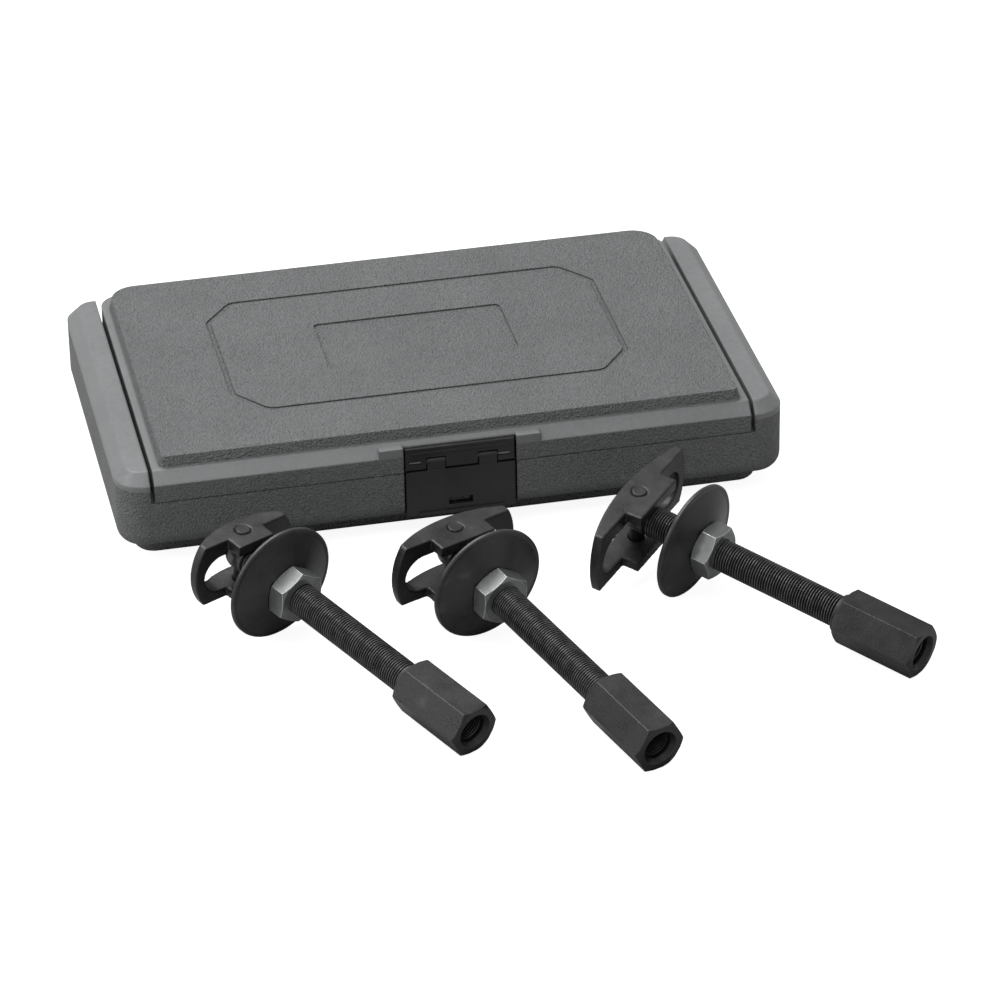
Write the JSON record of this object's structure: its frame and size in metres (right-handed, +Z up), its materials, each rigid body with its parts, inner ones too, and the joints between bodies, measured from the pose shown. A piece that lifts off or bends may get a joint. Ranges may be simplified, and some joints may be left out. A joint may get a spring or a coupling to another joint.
{
  "type": "bearing puller set",
  "caption": "Moulded plastic tool case with a latched lid, and screw pullers beside it, each with a swinging claw, a broad washer, a nut and a hexagon coupling.",
  "frame": {"origin": "centre of the case's underside, on the surface that the case and the pullers stand on", "axes": "+X along the case's length, +Y towards the case's hinges (the pullers lie on the -Y side, in front of the latch), +Z up"},
  "size_m": [0.3624, 0.4348, 0.0588],
  "materials": {
    "case_plastic": "fine leather grain",
    "latch_plastic": "satin black",
    "wire": "drawn",
    "black_oxide": "black oxide, oiled",
    "cast_claw": "black phosphate on a forged skin",
    "zinc": "bright zinc plate"
  },
  "bodies": {
    "case": {"case_base": "case_plastic", "hinge_pin_left": "wire", "hinge_pin_right": "wire"},
    "lid": {"case_lid": "case_plastic", "latch_plate": "latch_plastic", "latch_pin": "wire"},
    "flap": {"latch_flap": "latch_plastic"},
    "small_puller": {"small_screw": "black_oxide", "small_coupling": "black_oxide", "small_claw_pin": "black_oxide"},
    "small_swinging_claw": {"small_claw": "cast_claw"},
    "small_loose_washer": {"small_washer": "black_oxide"},
    "small_running_nut": {"small_nut": "zinc"},
    "medium_puller": {"medium_screw": "black_oxide", "medium_coupling": "black_oxide", "medium_claw_pin": "black_oxide"},
    "medium_swinging_claw": {"medium_claw": "cast_claw"},
    "medium_loose_washer": {"medium_washer": "black_oxide"},
    "medium_running_nut": {"medium_nut": "zinc"},
    "large_puller": {"large_screw": "black_oxide", "large_coupling": "black_oxide", "large_claw_pin": "black_oxide"},
    "large_swinging_claw": {"large_claw": "cast_claw"},
    "large_loose_washer": {"large_washer": "black_oxide"},
    "large_running_nut": {"large_nut": "zinc"}
  },
  "joints": [
    {"name": "lid_hinge", "type": "hinge", "parent": "case", "child": "lid", "pos_m": [0, 0.1, 0.037], "axis": [-1, 0, 0], "range_deg": [0, 110]},
    {"name": "latch_flap_hinge", "type": "hinge", "parent": "lid", "child": "flap", "pos_m": [0.002, -0.0927, 0.0406], "axis": [-1, 0, 0], "range_deg": [0, 92]},
    {"name": "small_lift", "type": "slide", "parent": "case", "child": "small_puller", "axis": [0, 0, 1], "range_m": [0, 0.12]},
    {"name": "small_claw_swing", "type": "hinge", "parent": "small_puller", "child": "small_swinging_claw", "pos_m": [-0.11536, -0.14566, 0.03298], "axis": [0.0527, -0.112, 0.9923], "range_deg": [-42, 44]},
    {"name": "small_washer_slide", "type": "slide", "parent": "small_puller", "child": "small_loose_washer", "axis": [0.4847, -0.8659, -0.1235], "range_m": [0, 0.0783]},
    {"name": "small_nut_turn", "type": "hinge", "parent": "small_loose_washer", "child": "small_running_nut", "pos_m": [-0.11536, -0.14566, 0.03298], "axis": [0.4847, -0.8659, -0.1235], "range_deg": [0, 20009]},
    {"name": "medium_lift", "type": "slide", "parent": "case", "child": "medium_puller", "axis": [0, 0, 1], "range_m": [0, 0.12]},
    {"name": "medium_claw_swing", "type": "hinge", "parent": "medium_puller", "child": "medium_swinging_claw", "pos_m": [-0.01654, -0.16734, 0.03299], "axis": [0.0627, -0.1065, 0.9923], "range_deg": [-52, 47]},
    {"name": "medium_washer_slide", "type": "slide", "parent": "medium_puller", "child": "medium_loose_washer", "axis": [0.3644, -0.9232, -0.1221], "range_m": [0, 0.0801]},
    {"name": "medium_nut_turn", "type": "hinge", "parent": "medium_loose_washer", "child": "medium_running_nut", "pos_m": [-0.01654, -0.16734, 0.03299], "axis": [0.3644, -0.9232, -0.1221], "range_deg": [0, 20442]},
    {"name": "large_lift", "type": "slide", "parent": "case", "child": "large_puller", "axis": [0, 0, 1], "range_m": [0, 0.12]},
    {"name": "large_claw_swing", "type": "hinge", "parent": "large_puller", "child": "large_swinging_claw", "pos_m": [0.07717, -0.15526, 0.03374], "axis": [0.004, -0.1741, 0.9847], "range_deg": [-46, 34]},
    {"name": "large_washer_slide", "type": "slide", "parent": "large_puller", "child": "large_loose_washer", "axis": [0.6614, -0.7381, -0.1333], "range_m": [0, 0.0678]},
    {"name": "large_nut_turn", "type": "hinge", "parent": "large_loose_washer", "child": "large_running_nut", "pos_m": [0.07717, -0.15526, 0.03374], "axis": [0.6614, -0.7381, -0.1333], "range_deg": [0, 17330]}
  ],
  "couplings": [
    {"joint": "small_nut_turn", "follows": "small_washer_slide", "rad_per_m": 4452.7},
    {"joint": "medium_nut_turn", "follows": "medium_washer_slide", "rad_per_m": 4452.7},
    {"joint": "large_nut_turn", "follows": "large_washer_slide", "rad_per_m": 4452.7}
  ]
}
